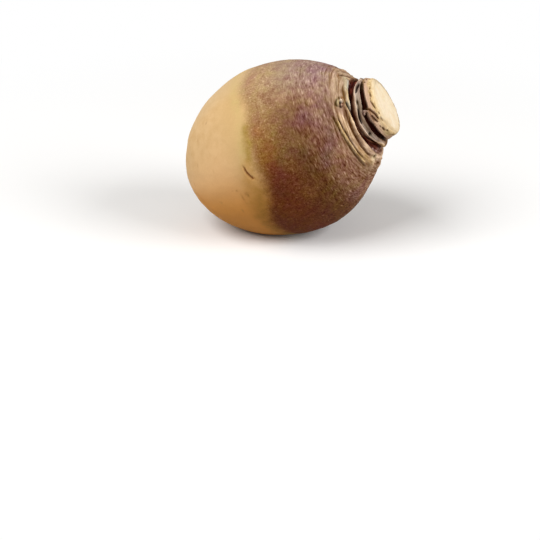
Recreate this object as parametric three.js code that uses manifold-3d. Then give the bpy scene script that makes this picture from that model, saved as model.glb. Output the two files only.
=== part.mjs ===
// A rutabaga, or swede, trimmed for sale: one swollen root that narrows to a short cut neck.
// The leaves were torn off, and each left a crescent scar that wraps part of the neck, with
// a raised lip below and a fold above. Two deep folds run right round, above and below the
// collar that the highest scars form. The taproot was trimmed to a low stub at the tail. The
// root lies on its side on one slightly flattened spot, with its neck raised.
//
// The frame: +Z is up, the origin is the middle of the resting spot, and the root's own axis
// lies in the XZ plane and climbs towards +X, where the neck is.

import * as THREE from "three";
import { mergeVertices } from "three/addons/utils/BufferGeometryUtils.js";
import Module from "manifold-3d";

const wasm = await Module();
wasm.setup();

const degrees = THREE.MathUtils.degToRad;
const smooth = (value, from, to) => THREE.MathUtils.smoothstep(value, from, to);
const bell = (offset, spread) => Math.exp(-((offset / spread) ** 2));

// Driving dimensions, in millimetres. "Axial" is measured along the root's axis from its
// widest girth, and grows towards the neck. "Turn" is the angle round the axis: 0 is the
// upper side, a quarter turn is the -Y side, and a half turn is the underside.
const GIRTH_RADIUS = 52.5;
const CROWN_REACH = 63; // from the girth to where the shoulder would close without a neck
const TAIL_REACH = 63; // from the girth to where the tail would close without its trim
const TAIL_FULLNESS = 1.9; // exponent of the tail's outline: 2 is an ellipse, less is sharper
const TAPROOT_RADIUS = 6.5; // of the trimmed stub at the tail
const TAPROOT_PROUD = 1.2; // how far the stub stands out of the tail
const TAPROOT_BEVEL = 0.6; // the stub's rounded rim
const AXIS_RISE = degrees(25);

const NECK_CUT = 69.7; // axial place of the cut, at the edge of its nearly flat face
const NECK_FOOT = 52.5; // axial place where the shoulder turns into the neck
const COLLAR_BASE = { radius: 23.6, axial: 56.8 };
const COLLAR_TOP = { radius: 21.8, axial: 60 };
const STUMP_BASE = { radius: 19.4, axial: 62.6 };
const CUT_RADIUS = 17.5; // of the stump below the cut's rim
const CUT_BEVEL = 2.5; // the cut's dried, rounded rim
const CUT_DOME = 0.5; // how far the middle of the cut stands above its rim
const CUT_TILT = { angle: degrees(5.2), turn: degrees(17) }; // the cut leans to that side
const NECK_DRIFT = { up: 1.8, near: 0.1, from: 38, to: 66 }; // the neck bends off the axis

// The resting spot: how deep the floor would reach into the unflattened root, how softly the
// skin rounds into it, and the height above the floor at which the last skin is pared off.
const SPOT_DEPTH = 2.5;
const SPOT_SOFTNESS = 1.2;
const SPOT_PARING = 0.4;

// Broad lobes of the swollen root: how many round the girth, where one peaks, and how high.
// They fade out between these two shares of the way to either end.
const LOBES = [
  { count: 2, turn: degrees(25), height: 0.6 },
  { count: 3, turn: degrees(70), height: 0.5 },
  { count: 5, turn: degrees(10), height: 0.25 },
];
const LOBE_FADE = { from: 0.35, to: 0.95 };

// The underside is fuller towards the neck, which puts the resting spot below the weight.
const BELLY = { axial: 15, turn: degrees(182), height: 1.9, reach: 24, spread: degrees(42) };

// Folds that run right round the neck: below the stump, and below the collar.
const RING_FOLDS = [
  { axial: 62.2, depth: 3.0, halfWidth: 1.25, sway: 0.7, turn: degrees(140) },
  { axial: 56.1, depth: 1.7, halfWidth: 0.95, sway: 0.6, turn: degrees(165) },
];

// Leaf scars from the highest down. "middle" is the turn its centre faces, "span" is how far
// it reaches to each side, "axial" is its lip at the middle, and "width" is from lip to fold.
const LEAF_SCARS = [
  { middle: degrees(25), span: degrees(80), axial: 52.6, width: 2.4, fold: 0.7, lip: 0.7 },
  { middle: degrees(245), span: degrees(100), axial: 52.8, width: 2.6, fold: 0.8, lip: 0.8 },
  { middle: degrees(135), span: degrees(85), axial: 52.0, width: 2.6, fold: 0.8, lip: 0.9 },
  { middle: degrees(95), span: degrees(70), axial: 47.8, width: 3.6, fold: 0.7, lip: 0.8 },
  { middle: degrees(300), span: degrees(75), axial: 48.6, width: 3.4, fold: 0.7, lip: 0.7 },
  { middle: degrees(195), span: degrees(70), axial: 47.2, width: 3.4, fold: 0.6, lip: 0.7 },
];
const SCAR_EDGE = 0.95; // how softly a lip and a fold rise and fall
const SCAR_DROOP = 1.6; // how far the tips of a crescent drop below its middle
const TIP_WIDTH = 0.4; // of a crescent, as a share of its width at the middle
const TIP_FADE = 0.6; // the strength at which a crescent reaches its full relief

// How finely the surface is divided.
const SEGMENTS = 72;
const TAIL_STEPS = 16;
const SHOULDER_STEPS = 20;
const NECK_STEP = 0.8;
const RIM_STEPS = 4;
const FACE_STEPS = 4;

// Distances below which two points are one, and a point lies on the floor.
const SAME_POINT = 1e-4;
const ON_FLOOR = 1e-3;

// The difference between two turns, between minus and plus a half turn.
function turnFrom(turn, middle) {
  const full = 2 * Math.PI;
  return THREE.MathUtils.euclideanModulo(turn - middle + Math.PI, full) - Math.PI;
}

// The outline of the root in (radius, axial), from the tail's stub to the neck's cut face.
function outline() {
  const tail = [];
  const power = 2 / TAIL_FULLNESS;
  const stubAngle = Math.asin((TAPROOT_RADIUS / GIRTH_RADIUS) ** (1 / power));
  for (let i = 0; i < TAIL_STEPS; i++) {
    const angle = THREE.MathUtils.lerp(stubAngle, Math.PI / 2, i / TAIL_STEPS);
    tail.push(
      new THREE.Vector2(
        GIRTH_RADIUS * Math.sin(angle) ** power,
        -TAIL_REACH * Math.cos(angle) ** power,
      ),
    );
  }
  const stubEnd = tail[0].y - TAPROOT_PROUD;
  const stub = [
    new THREE.Vector2(0, stubEnd),
    new THREE.Vector2(TAPROOT_RADIUS / 2, stubEnd),
    new THREE.Vector2(TAPROOT_RADIUS - TAPROOT_BEVEL, stubEnd),
    new THREE.Vector2(TAPROOT_RADIUS, stubEnd + TAPROOT_BEVEL),
  ];

  const shoulder = [];
  const footAngle = Math.asin(NECK_FOOT / CROWN_REACH);
  for (let i = 0; i < SHOULDER_STEPS; i++) {
    // The steps shorten towards the neck, where the leaf scars need them.
    const angle = footAngle * Math.sin(((i / SHOULDER_STEPS) * Math.PI) / 2);
    shoulder.push(
      new THREE.Vector2(GIRTH_RADIUS * Math.cos(angle), CROWN_REACH * Math.sin(angle)),
    );
  }

  const neckCurve = new THREE.SplineCurve([
    new THREE.Vector2(GIRTH_RADIUS * Math.cos(footAngle), NECK_FOOT),
    new THREE.Vector2(COLLAR_BASE.radius, COLLAR_BASE.axial),
    new THREE.Vector2(COLLAR_TOP.radius, COLLAR_TOP.axial),
    new THREE.Vector2(STUMP_BASE.radius, STUMP_BASE.axial),
    new THREE.Vector2(CUT_RADIUS, NECK_CUT - CUT_BEVEL),
  ]);
  const neck = neckCurve.getSpacedPoints(Math.round(neckCurve.getLength() / NECK_STEP));

  const rim = [];
  for (let i = 1; i < RIM_STEPS; i++) {
    const angle = (Math.PI / 2) * (i / RIM_STEPS);
    rim.push(
      new THREE.Vector2(
        CUT_RADIUS - CUT_BEVEL * (1 - Math.cos(angle)),
        NECK_CUT - CUT_BEVEL * (1 - Math.sin(angle)),
      ),
    );
  }

  const face = [];
  for (let i = 0; i <= FACE_STEPS; i++) {
    const share = 1 - i / FACE_STEPS;
    const height = CUT_DOME * (1 - share * share);
    face.push(new THREE.Vector2((CUT_RADIUS - CUT_BEVEL) * share, NECK_CUT + height));
  }
  return [...stub, ...tail, ...shoulder, ...neck, ...rim, ...face];
}

// The broad shape: how far the skin stands out from the plain outline.
function swelling(axial, turn) {
  const towardsEnd = Math.abs(axial < 0 ? axial / TAIL_REACH : axial / CROWN_REACH);
  const lobes = LOBES.reduce(
    (sum, lobe) => sum + lobe.height * Math.cos(lobe.count * (turn - lobe.turn)),
    0,
  );
  const belly =
    BELLY.height *
    bell(axial - BELLY.axial, BELLY.reach) *
    bell(turnFrom(turn, BELLY.turn), BELLY.spread);
  return lobes * (1 - smooth(towardsEnd, LOBE_FADE.from, LOBE_FADE.to)) + belly;
}

// One leaf scar: a raised lip, a flat band above it and a fold above that. The crescent
// narrows and drops towards its two tips.
function leafScar(scar, axial, turn) {
  const across = turnFrom(turn, scar.middle) / scar.span;
  if (Math.abs(across) >= 1) return 0;
  const strength = Math.sqrt(1 - across * across);
  const width = scar.width * THREE.MathUtils.lerp(TIP_WIDTH, 1, strength);
  const height = axial - scar.axial + SCAR_DROOP * across * across;
  const lip = scar.lip * bell(height, SCAR_EDGE);
  const fold = scar.fold * bell(height - width, SCAR_EDGE);
  return (lip - fold) * smooth(strength, 0, TIP_FADE);
}

function ringFold(fold, axial, turn) {
  const place = fold.axial + fold.sway * Math.cos(turn - fold.turn);
  return -fold.depth * bell(axial - place, fold.halfWidth);
}

// All the relief of the crown, which ends short of the cut's rim.
function crownRelief(axial, turn) {
  const onTheSide = 1 - smooth(axial, STUMP_BASE.axial + 2, NECK_CUT - CUT_BEVEL);
  const scars = LEAF_SCARS.reduce((sum, scar) => sum + leafScar(scar, axial, turn), 0);
  const folds = RING_FOLDS.reduce((sum, fold) => sum + ringFold(fold, axial, turn), 0);
  return (scars + folds) * onTheSide;
}

// How far the tilt of the cut moves a point of the stump along the axis.
function cutTilt(radius, axial, turn) {
  const onTheStump = smooth(axial, STUMP_BASE.axial, NECK_CUT);
  return -onTheStump * radius * Math.tan(CUT_TILT.angle) * Math.cos(turn - CUT_TILT.turn);
}

// Outward normals of an outline, in the same (radius, axial) plane.
function outlineNormals(points) {
  return points.map((_, i) => {
    const before = points[Math.max(i - 1, 0)];
    const after = points[Math.min(i + 1, points.length - 1)];
    const along = after.clone().sub(before).normalize();
    return new THREE.Vector2(along.y, -along.x);
  });
}

// The whole root with its axis along Y, as a lathe whose skin is then moved in and out.
function rootGeometry() {
  const points = outline();
  const normals = outlineNormals(points);
  const geometry = new THREE.LatheGeometry(points, SEGMENTS);
  const position = geometry.getAttribute("position");
  for (let i = 0; i < position.count; i++) {
    const row = i % points.length;
    const turn = (2 * Math.PI * Math.floor(i / points.length)) / SEGMENTS;
    const { x: radius, y: axial } = points[row];
    const onAxis = radius === 0;
    const rise = onAxis ? 0 : swelling(axial, turn) + crownRelief(axial, turn);
    const drift = smooth(axial, NECK_DRIFT.from, NECK_DRIFT.to);
    const newRadius = radius + rise * normals[row].x;
    position.setXYZ(
      i,
      newRadius * Math.sin(turn) + drift * NECK_DRIFT.near,
      axial + rise * normals[row].y + cutTilt(radius, axial, turn),
      newRadius * Math.cos(turn) + drift * NECK_DRIFT.up,
    );
  }
  return geometry;
}

// Turns the lathe's axis from Y to the root's own axis, with turn 0 on the upper side.
function layDown(geometry) {
  const axis = new THREE.Vector3(Math.cos(AXIS_RISE), 0, Math.sin(AXIS_RISE));
  const upperSide = new THREE.Vector3(-Math.sin(AXIS_RISE), 0, Math.cos(AXIS_RISE));
  const nearSide = new THREE.Vector3().crossVectors(axis, upperSide);
  geometry.applyMatrix4(new THREE.Matrix4().makeBasis(nearSide, axis, upperSide));
}

// Presses the underside into a soft flat. A height below the floor comes out just above it.
function flatten(geometry) {
  geometry.computeBoundingBox();
  const floor = geometry.boundingBox.min.z + SPOT_DEPTH;
  const position = geometry.getAttribute("position");
  for (let i = 0; i < position.count; i++) {
    const height = position.getZ(i) - floor;
    position.setZ(i, (height + Math.hypot(height, SPOT_SOFTNESS)) / 2);
  }
}

function toSolid(geometry) {
  const plain = geometry.clone().deleteAttribute("normal").deleteAttribute("uv");
  const merged = mergeVertices(plain, SAME_POINT);
  return new wasm.Manifold(
    new wasm.Mesh({
      numProp: 3,
      vertProperties: merged.getAttribute("position").array,
      triVerts: new Uint32Array(merged.index.array),
    }),
  );
}

function toGeometry(solid) {
  const mesh = solid.getMesh();
  const geometry = new THREE.BufferGeometry();
  geometry.setAttribute("position", new THREE.BufferAttribute(mesh.vertProperties, 3));
  geometry.setIndex(new THREE.BufferAttribute(mesh.triVerts, 1));
  geometry.computeVertexNormals();
  return geometry;
}

// Pares the underside to a true plane, and puts the middle of that plane at the origin.
function pareSpot(geometry) {
  const side = 4 * GIRTH_RADIUS;
  const floorBlock = new THREE.BoxGeometry(side, side, side);
  floorBlock.translate(0, 0, SPOT_PARING - side / 2);
  const pared = toGeometry(toSolid(geometry).subtract(toSolid(floorBlock)));
  pared.translate(0, 0, -SPOT_PARING);

  const spot = new THREE.Box2();
  const position = pared.getAttribute("position");
  for (let i = 0; i < position.count; i++) {
    if (Math.abs(position.getZ(i)) < ON_FLOOR) {
      spot.expandByPoint(new THREE.Vector2(position.getX(i), position.getY(i)));
    }
  }
  const middle = spot.getCenter(new THREE.Vector2());
  pared.translate(-middle.x, -middle.y, 0);
  return pared;
}

function makeRoot() {
  const geometry = rootGeometry();
  layDown(geometry);
  flatten(geometry);
  const skin = new THREE.MeshStandardMaterial({
    color: new THREE.Color(0.62, 0.42, 0.27),
    roughness: 0.5,
    metalness: 0,
  });
  const root = new THREE.Mesh(pareSpot(geometry), skin);
  root.name = "rutabaga_root";
  return root;
}

const rutabaga = new THREE.Group();
rutabaga.add(makeRoot());

export default rutabaga;
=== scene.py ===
# A rutabaga lying on its side: a swollen root, cream at the tail and purple at the shoulder,
# with ringed leaf scars on a short neck that was cut flat. The root is worked out in
# millimetres, and MM turns them into metres.

import math

import bpy
import numpy as np
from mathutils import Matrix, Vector, noise


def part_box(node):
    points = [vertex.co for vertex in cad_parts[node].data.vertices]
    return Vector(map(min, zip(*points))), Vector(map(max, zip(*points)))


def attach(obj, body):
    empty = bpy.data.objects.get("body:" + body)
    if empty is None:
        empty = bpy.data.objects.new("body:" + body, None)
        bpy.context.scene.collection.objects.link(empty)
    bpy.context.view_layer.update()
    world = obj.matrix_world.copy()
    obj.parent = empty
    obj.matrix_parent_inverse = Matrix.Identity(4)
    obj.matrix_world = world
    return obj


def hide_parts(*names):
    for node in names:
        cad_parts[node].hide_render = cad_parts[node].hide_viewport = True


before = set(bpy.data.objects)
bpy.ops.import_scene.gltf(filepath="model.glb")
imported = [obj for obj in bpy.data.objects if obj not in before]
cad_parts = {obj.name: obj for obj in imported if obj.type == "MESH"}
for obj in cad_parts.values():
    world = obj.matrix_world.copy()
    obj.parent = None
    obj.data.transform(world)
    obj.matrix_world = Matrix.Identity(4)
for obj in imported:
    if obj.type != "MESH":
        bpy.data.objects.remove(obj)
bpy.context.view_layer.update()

MM = 0.001


# ---------------------------------------------------------------------------------------
# The root. One swollen root that grew in a single piece: the skin, the shoulder, the neck
# with its torn leaf scars, the cut stump and the trimmed taproot are all one surface. It is
# spun from one outline, then its skin is pushed in and out and tinted.

# "Axial" is measured along the root's axis from its widest girth, and grows towards the
# neck. "Turn" is the angle round the axis in degrees: 0 is the upper side, 90 the near side.
girth_radius = 52.5
crown_reach = 63.0
tail_reach = 63.0
tail_fullness = 1.9
taproot_radius = 6.5
taproot_proud = 1.2
taproot_bevel = 0.6
neck_foot = 52.5
neck_cut = 69.7
collar_base = (23.6, 56.8)
collar_top = (21.8, 60.0)
stump_base = (19.4, 62.6)
cut_radius = 17.5
cut_bevel = 2.5
cut_dome = 0.5
cut_tilt = math.radians(5.2)
cut_tilt_turn = math.radians(17)
axis_rise = math.radians(25)

# The rings of faces lie closest where the skin is most torn. A step is the gap between two.
segments = 360
tail_step = 1.5
tail_end = -16
skin_step = 1.15
crack_step = 0.6
crack_zone = (-13, -5)
crown_step = 0.31
crown_zone = (36, 46)
face_step = 0.9
face_zone_radius = 12.5
pole_gap = 1.2


def catmull(points, steps=24):
    """A smooth line through the points, as a bent lath lies."""
    points = np.array(points, float)
    padded = np.vstack([2 * points[0] - points[1], points, 2 * points[-1] - points[-2]])
    line = []
    for before, start, end, after in zip(padded, padded[1:], padded[2:], padded[3:]):
        for t in np.arange(steps) / steps:
            line.append(
                0.5
                * (
                    2 * start
                    + (end - before) * t
                    + (2 * before - 5 * start + 4 * end - after) * t**2
                    + (3 * start - before - 3 * end + after) * t**3
                )
            )
    return np.array(line + [points[-1]])


def smooth(value, low, high):
    """0 below low, 1 above high, and a soft rise between them."""
    share = np.clip((value - low) / (high - low), 0, 1)
    return share * share * (3 - 2 * share)


def root_outline():
    """The outline in (radius, axial), from the taproot's stub round to the cut face."""
    power = 2 / tail_fullness
    stub_angle = math.asin((taproot_radius / girth_radius) ** (1 / power))
    tail = [
        (girth_radius * math.sin(a) ** power, -tail_reach * max(math.cos(a), 0) ** power)
        for a in np.linspace(stub_angle, math.pi / 2, 400)
    ]
    stub_end = tail[0][1] - taproot_proud
    stub = [
        (0, stub_end),
        (taproot_radius - taproot_bevel, stub_end),
        (taproot_radius - 0.3 * taproot_bevel, stub_end + 0.3 * taproot_bevel),
        (taproot_radius, stub_end + taproot_bevel),
    ]
    foot_angle = math.asin(neck_foot / crown_reach)
    shoulder = [
        (girth_radius * math.cos(a), crown_reach * math.sin(a))
        for a in np.linspace(0, foot_angle, 300)[1:-1]
    ]
    neck = catmull(
        [
            (girth_radius * math.cos(foot_angle), neck_foot),
            collar_base,
            collar_top,
            stump_base,
            (cut_radius, neck_cut - cut_bevel),
        ]
    )
    rim = [
        (cut_radius - cut_bevel * (1 - math.cos(a)), neck_cut - cut_bevel * (1 - math.sin(a)))
        for a in np.linspace(0, math.pi / 2, 12)[1:]
    ]
    face = [
        ((cut_radius - cut_bevel) * share, neck_cut + cut_dome * (1 - share * share))
        for share in np.linspace(1, 0, 30)[1:]
    ]
    return np.array([*stub, *tail, *shoulder, *neck, *rim, *face])


def ring_places(line):
    """The outline again, with its points spaced as finely as the skin's detail needs."""
    run = np.concatenate([[0], np.cumsum(np.hypot(*np.diff(line, axis=0).T))])
    travel = np.linspace(0, run[-1], 20000)
    radius = np.interp(travel, run, line[:, 0])
    axial = np.interp(travel, run, line[:, 1])
    step = np.where(axial < tail_end, tail_step, skin_step)
    step[(axial > crack_zone[0]) & (axial < crack_zone[1])] = crack_step
    fine = smooth(axial, *crown_zone)
    step = step * (1 - fine) + crown_step * fine
    step[(axial > neck_cut) & (radius < face_zone_radius)] = face_step
    passed = np.concatenate([[0], np.cumsum(np.diff(travel) / step[1:])])
    rings = np.interp(np.linspace(0, passed[-1], round(passed[-1]) + 1), passed, travel)
    points = np.column_stack([np.interp(rings, travel, radius), np.interp(rings, travel, axial)])
    near_pole = (points[:, 0] > 0) & (points[:, 0] < pole_gap)
    return points[~near_pole]


def spin_root():
    """The plain solid of revolution, with its axis along Z."""
    rings = ring_places(root_outline()) * MM
    profile = bpy.data.meshes.new("root_skin")
    edges = [(ring, ring + 1) for ring in range(len(rings) - 1)]
    profile.from_pydata([(r, 0, a) for r, a in rings], edges, [])
    made = bpy.data.objects.new("root_skin", profile)
    bpy.context.collection.objects.link(made)
    bpy.ops.object.select_all(action="DESELECT")
    bpy.context.view_layer.objects.active = made
    made.select_set(True)
    bpy.ops.object.mode_set(mode="EDIT")
    bpy.ops.mesh.select_all(action="SELECT")
    bpy.ops.mesh.spin(steps=segments, angle=2 * math.pi, center=(0, 0, 0), axis=(0, 0, 1))
    bpy.ops.mesh.select_all(action="SELECT")
    bpy.ops.mesh.remove_doubles(threshold=0.002 * MM)
    bpy.ops.mesh.normals_make_consistent(inside=False)
    bpy.ops.object.mode_set(mode="OBJECT")
    bpy.ops.object.shade_smooth()
    return made


root = spin_root()
mesh = root.data
count = len(mesh.vertices)
plain = np.empty(count * 3)
mesh.vertices.foreach_get("co", plain)
plain = plain.reshape(-1, 3) / MM
outward = np.empty(count * 3)
mesh.vertex_normals.foreach_get("vector", outward)
outward = outward.reshape(-1, 3)

axial = plain[:, 2]
radius = np.hypot(plain[:, 0], plain[:, 1])
turn = np.degrees(np.arctan2(plain[:, 1], plain[:, 0]))
on_cut = axial > neck_cut - 0.3 * cut_bevel
rise = np.zeros(count)


def speckle(size, along=1.0, octaves=3, seed=0):
    """Soft noise on the skin, from -1 to 1; "along" stretches it round the girth."""
    place = plain / size
    place[:, :2] /= along
    place += seed * 17.3
    return np.array([noise.fractal(Vector(p), 1.0, 2.0, octaves) for p in place])


def turned(angle, middle):
    """The difference between two turns in degrees, from -180 to 180."""
    return (angle - middle + 180) % 360 - 180


# Broad shape: two, three and five soft lobes round the girth, which die out at both ends.
towards_end = np.abs(axial) / np.where(axial < 0, tail_reach, crown_reach)
lobes = sum(
    height * np.cos(number * np.radians(turn - peak_turn))
    for number, peak_turn, height in ((2, 25, 0.6), (3, 70, 0.5), (5, 10, 0.25))
)
rise += lobes * (1 - smooth(towards_end, 0.35, 0.95))

# A fuller underside, and shallow hollows under the shoulder and on top of the neck.
for height, at_axial, reach, at_turn, spread in (
    (1.9, 15, 24, 182, 42), (-1.5, 41, 8, 163, 26), (-1.1, 54.5, 5, -16, 30),
):
    lengthwise = np.exp(-(((axial - at_axial) / reach) ** 2))
    rise += height * lengthwise * np.exp(-((turned(turn, at_turn) / spread) ** 2))

# The skin undulates slowly, up to the stump.
on_skin = 1 - smooth(axial, 60, 63)
rise += on_skin * (0.30 * speckle(15, seed=1) + 0.07 * speckle(4.5, seed=2))

# Fine wrinkles run round the shoulder and deepen towards the neck.
wrinkled = smooth(axial, 24, 50) * on_skin
rise += wrinkled * 0.13 * speckle(1.1, along=9, octaves=2, seed=3)
rise += smooth(axial, 38, 50) * on_skin * 0.20 * speckle(2.6, along=8, octaves=2, seed=4)

# Strokes drawn on the skin wander a little, as growth lines do.
in_crown = smooth(axial, 40, 48)
drawn_axial = axial + 0.22 * (1 - in_crown) * speckle(2.6, octaves=2, seed=5)
drawn_axial += 0.20 * in_crown * speckle(2.4, along=5, octaves=2, seed=16)
drawn_turn = turn + 1.3 * speckle(3.0, octaves=2, seed=6)

paint = np.zeros((count, 3))
cover = np.zeros(count)


def linear(red, green, blue):
    """A colour given as 0 to 255 on screen, as the light it stands for."""
    return tuple(
        c / 255 / 12.92 if c <= 10 else ((c / 255 + 0.055) / 1.055) ** 2.4
        for c in (red, green, blue)
    )


def tint(where, colour, strength):
    """Lays a colour over the paint where the mask "where" is above 0."""
    share = np.clip(where * strength, 0, 1)
    paint[:] = paint * (1 - share[:, None]) + np.array(linear(*colour)) * share[:, None]
    cover[:] = cover + share * (1 - cover)


def stroke(path, height=0.0, colour=None, strength=1.0, edge=2, taper=8, tint_width=1.0):
    """Draws along a path of (turn, axial, half width), raising or sinking the skin."""
    line = catmull(path)
    start, end = line[0, 0], line[-1, 0]
    angle = (drawn_turn - (start + end) / 2 + 180) % 360 - 180 + (start + end) / 2
    middle = np.interp(angle, line[:, 0], line[:, 1])
    half = np.interp(angle, line[:, 0], line[:, 2])
    keep = ~on_cut * 1.0
    if taper:
        keep *= smooth(angle, start - taper / 2, start + taper / 2)
        keep *= 1 - smooth(angle, end - taper / 2, end + taper / 2)
    off = np.abs(drawn_axial - middle) / half
    rise[:] += height * keep * np.exp(-(off**edge))
    if colour:
        tint(keep * np.exp(-((off / tint_width) ** edge)), colour, strength)


def spot(at_turn, at_axial, along, across, height=0.0, colour=None, strength=1.0, edge=2):
    """An oval mark, with half sizes round the girth and along the axis."""
    reach = radius * np.radians(turned(drawn_turn, at_turn)) / along
    off = np.hypot(reach, (drawn_axial - at_axial) / across)
    mark = np.exp(-(off**edge)) * ~on_cut
    rise[:] += height * mark
    if colour:
        tint(mark, colour, strength)


# Where the purple begins, as (turn, axial) all round the root: the uneven line of the soil.
purple_edge = catmull(
    [
        (-20, 1.5), (8, 1.0), (20, -1.6), (32, -1.0), (44, 1.8), (54, -0.5), (64, -1.8), (76, -2.4),
        (88, -1.8), (98, -3.0), (106, -5.6), (116, -10.5), (130, -14), (150, -12), (172, -8),
        (192, -3), (214, 0), (236, -2), (258, -6), (280, -8.5), (300, -7), (322, -2), (340, 1.5),
        (368, 1.0), (380, -1.6),
    ]
)
past_edge = drawn_axial - np.interp(drawn_turn % 360, purple_edge[:, 0], purple_edge[:, 1])

# Broad patches of colour, which the material breaks up into mottling: the green-gold bands
# beside the purple's edge, then violet, olive, russet and wine patches on the purple.
green_gold, old_gold, warm_gold = (214, 188, 122), (164, 130, 52), (200, 142, 62)
russet, amber = (160, 106, 56), (178, 130, 58)
wine, umber, olive, violet = (104, 52, 34), (92, 62, 32), (122, 96, 48), (120, 84, 84)
mauve, pink_tan, fawn = (148, 116, 118), (176, 130, 104), (184, 152, 112)
for path, colour, strength in (
    ([(-30, -6, 4), (8, -6.5, 4.5), (30, -6, 4.5), (46, -4, 4.5), (60, -6, 4.5), (78, -9, 4)],
     green_gold, 0.4),
    ([(52, -1.0, 2.0), (60, -2.2, 3.2), (68, -3.6, 3.2), (78, -6, 2.2)], old_gold, 0.6),
    ([(74, -8, 3), (84, -9.5, 5), (94, -12, 6), (106, -15, 6), (122, -19, 6)], warm_gold, 0.4),
    ([(94, -8, 2.2), (102, -9.5, 3), (112, -13, 3.6), (124, -17, 4.2), (150, -15, 4)], amber, 0.4),
    ([(150, -13, 4), (190, -6, 4.2), (230, -3, 4), (265, -8, 4), (300, -9, 4), (335, -3, 4)],
     green_gold, 0.5),
    ([(196, -3, 2.4), (212, -1.6, 3), (232, -3, 2.6)], old_gold, 0.6),
    ([(285, -9, 2.6), (300, -8.4, 3), (318, -4, 2.4)], old_gold, 0.5),
):
    stroke(path, 0.0, colour, strength)
for at_turn, at_axial, along, across, colour, strength in (
    (20, 3.6, 9, 4, pink_tan, 0.6), (60, 4.5, 5, 4, russet, 0.6), (22, 13, 14, 6, fawn, 0.45),
    (46, 10, 8, 5, fawn, 0.3), (42, 21, 9, 6, pink_tan, 0.35), (14, 30, 9, 5, mauve, 0.4),
    (20, 41, 10, 4, mauve, 0.5), (61, 32, 6, 5, violet, 0.6), (78, 42, 5, 3, violet, 0.5),
    (88, 39, 5, 4, violet, 0.45), (97, 35, 6, 4, violet, 0.4), (78, 18, 5, 6, olive, 0.6),
    (83, 12, 5, 4, olive, 0.45), (84, 26, 5, 4, umber, 0.6), (97, 26, 7, 5, umber, 0.5),
    (80, 31, 3.4, 2.4, fawn, 0.25), (71, 29.5, 4.5, 4, umber, 0.4), (94, 9, 10, 7, wine, 0.6),
    (104, 3, 8, 5, wine, 0.4), (68, 31, 6, 5, wine, 0.5), (82, 36, 6, 5, wine, 0.5),
    (41, 34, 8, 6, fawn, 0.22), (40, 27, 7, 5, fawn, 0.12), (66, 14, 4, 3, olive, 0.3),
    (70, 13, 6, 5, umber, 0.16), (69, 22, 5, 4, umber, 0.16), (30, 42, 9, 6, fawn, 0.3),
    (59, 35.5, 4, 3, umber, 0.2), (92, 36, 4, 3, umber, 0.25), (91, 44.4, 4, 2.2, umber, 0.25),
    (112, 20, 9, 6, russet, 0.3), (126, 30, 10, 6, olive, 0.3), (50, 38, 9, 4, pink_tan, 0.25),
    (136, 14, 10, 8, wine, 0.4), (150, 36, 9, 6, violet, 0.4), (168, 20, 9, 7, olive, 0.45),
    (190, 33, 8, 6, violet, 0.45), (203, 17, 9, 7, wine, 0.5), (222, 40, 8, 5, mauve, 0.5),
    (230, 26, 9, 7, olive, 0.45), (246, 10, 9, 6, wine, 0.5), (258, 33, 8, 6, violet, 0.45),
    (272, 19, 9, 7, umber, 0.5), (286, 41, 8, 5, mauve, 0.5), (296, 9, 9, 6, russet, 0.5),
    (306, 28, 9, 7, olive, 0.4), (324, 16, 9, 7, pink_tan, 0.45), (332, 36, 9, 6, mauve, 0.5),
    (346, 24, 9, 7, fawn, 0.45),
):
    spot(at_turn, at_axial, along, across, 0.0, colour, strength)

# Colours of the crown and the stump: dark folds, scars' ridges, and the cut with its rim.
# The folds' near-black and dark brown are partly dry tissue and partly painted shade in their depth.
fold_black_and_shade = (50, 15, 5)
fold_brown_and_shade = (70, 27, 13)
maroon = (98, 42, 28)
strip_brown = (136, 84, 50)
dry_mauve = (150, 108, 94)
valley_brown = (84, 54, 20)
crease_brown = (76, 42, 16)
collar_grey = (158, 138, 124)
collar_pale_and_highlight = (226, 198, 172)
lip_pale = (196, 178, 146)
lip_cream = (206, 176, 132)
ridge_tan = (212, 178, 142)
ridge_pink = (220, 186, 154)
ridge_yellow = (214, 180, 130)
crown_tan = (158, 126, 98)
stump_mauve = (200, 166, 138)
rim_tan = (220, 190, 142)
rim_olive = (158, 124, 70)
cut_cream = (250, 232, 202)
facet_cream = (238, 208, 160)
pit_brown = (92, 58, 24)

# The crown's skin fades from purple to dull tan where the leaves grew.
tint(smooth(drawn_axial + 1.5 * speckle(6, seed=7), 43, 51), crown_tan, 0.75)
spot(26, 50.5, 12, 4, 0.0, (208, 180, 150), 0.45)

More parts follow.
